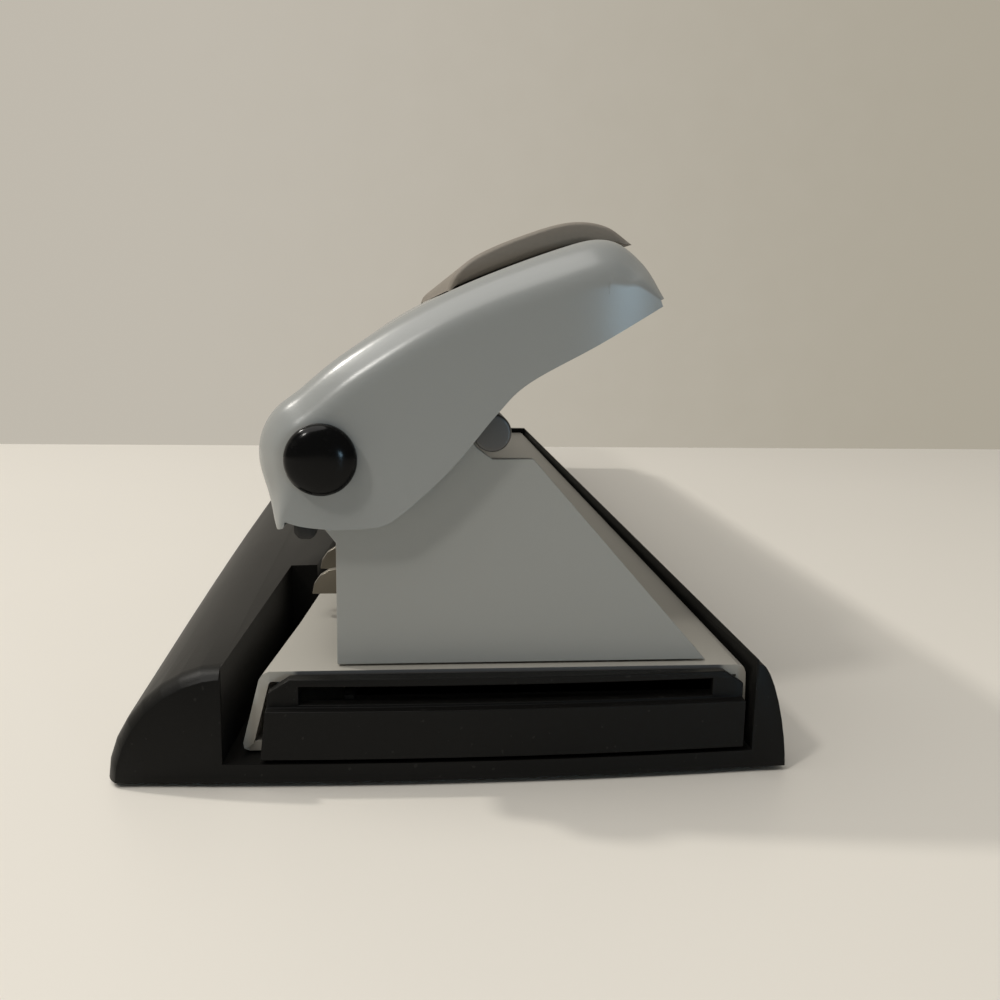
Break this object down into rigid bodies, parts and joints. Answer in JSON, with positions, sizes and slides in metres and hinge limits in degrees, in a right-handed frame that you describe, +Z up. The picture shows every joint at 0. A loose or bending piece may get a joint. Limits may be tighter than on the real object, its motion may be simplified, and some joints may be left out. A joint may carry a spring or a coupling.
{
  "type": "three-hole punch",
  "caption": "Desk paper punch with a long pressed lever, sprung pins over dies on a painted deck, and a chip drawer in a black base.",
  "frame": {"origin": "on the table, under the middle of the punch's bounding box", "axes": "+X along the punch's length towards the end where the chip drawer slides out; +Y from the paper's side towards the grip; +Z up"},
  "size_m": [0.2962, 0.0995, 0.0797],
  "materials": {
    "base_plastic": "black moulded plastic with a fine satin grain",
    "deck_paint": "pale grey painted sheet steel",
    "grey_paint": "light cool grey satin paint on pressed steel",
    "cap_plastic": "glossy black plastic",
    "zinc_steel": "zinc-plated steel",
    "black_rubber": "matt black rubber",
    "nickel_steel": "nickel-plated sheet steel, softly bright",
    "tool_steel": "ground hardened steel",
    "black_steel": "blackened steel",
    "grip_rubber": "dark brown-grey soft grip rubber, matt"
  },
  "bodies": {
    "frame": {"base_shell": "base_plastic", "chassis_deck": "deck_paint", "end_plate_left": "grey_paint", "end_plate_right": "grey_paint", "pivot_cap_left": "cap_plastic", "pivot_cap_right": "cap_plastic", "pivot_shaft": "zinc_steel", "pivot_washer_left": "zinc_steel", "pivot_washer_right": "zinc_steel", "pin_spring_left": "zinc_steel", "pin_spring_centre": "zinc_steel", "pin_spring_right": "zinc_steel", "rivet_1": "zinc_steel", "rivet_2": "zinc_steel", "rivet_3": "zinc_steel", "rivet_4": "zinc_steel", "rivet_5": "zinc_steel", "rivet_6": "zinc_steel", "rivet_7": "zinc_steel", "rivet_8": "zinc_steel", "rivet_9": "zinc_steel", "rivet_10": "zinc_steel", "base_screw_1": "zinc_steel", "base_screw_2": "zinc_steel", "base_screw_3": "zinc_steel", "base_screw_4": "zinc_steel", "rubber_foot_1": "black_rubber", "rubber_foot_2": "black_rubber", "rubber_foot_3": "black_rubber", "rubber_foot_4": "black_rubber", "punch_head_left": "nickel_steel", "punch_head_centre": "nickel_steel", "punch_head_right": "nickel_steel", "die_left": "tool_steel", "die_centre": "tool_steel", "die_right": "tool_steel", "tie_rod": "black_steel"},
    "handle": {"handle_shell": "grey_paint", "grip_pad": "grip_rubber", "press_arm_left": "black_steel", "press_arm_centre": "black_steel", "press_arm_right": "black_steel", "handle_bumper_left": "black_rubber", "handle_bumper_right": "black_rubber"},
    "drawer": {"chip_drawer": "base_plastic"},
    "punch_pin_left": {"punch_pin_left": "tool_steel", "pin_clip_left": "zinc_steel"},
    "punch_pin_centre": {"punch_pin_centre": "tool_steel", "pin_clip_centre": "zinc_steel"},
    "punch_pin_right": {"punch_pin_right": "tool_steel", "pin_clip_right": "zinc_steel"}
  },
  "joints": [
    {"name": "handle_press", "type": "hinge", "parent": "frame", "child": "handle", "pos_m": [0, -0.0188, 0.0462], "axis": [-1, 0, 0], "range_deg": [0, 34.37], "stiffness_Nm_per_rad": 1, "springref_deg": -17.19},
    {"name": "drawer_slide", "type": "slide", "parent": "frame", "child": "drawer", "axis": [1, 0, 0], "range_m": [0, 0.15]},
    {"name": "pin_slide_left", "type": "slide", "parent": "frame", "child": "punch_pin_left", "axis": [0, 0, -1], "range_m": [0, 0.0051], "deforming": ["pin_spring_left"]},
    {"name": "pin_slide_centre", "type": "slide", "parent": "frame", "child": "punch_pin_centre", "axis": [0, 0, -1], "range_m": [0, 0.0051], "deforming": ["pin_spring_centre"]},
    {"name": "pin_slide_right", "type": "slide", "parent": "frame", "child": "punch_pin_right", "axis": [0, 0, -1], "range_m": [0, 0.0051], "deforming": ["pin_spring_right"]}
  ],
  "couplings": [
    {"joint": "pin_slide_left", "follows": "handle_press", "m_per_rad": 0.0085},
    {"joint": "pin_slide_centre", "follows": "handle_press", "m_per_rad": 0.0085},
    {"joint": "pin_slide_right", "follows": "handle_press", "m_per_rad": 0.0085}
  ]
}
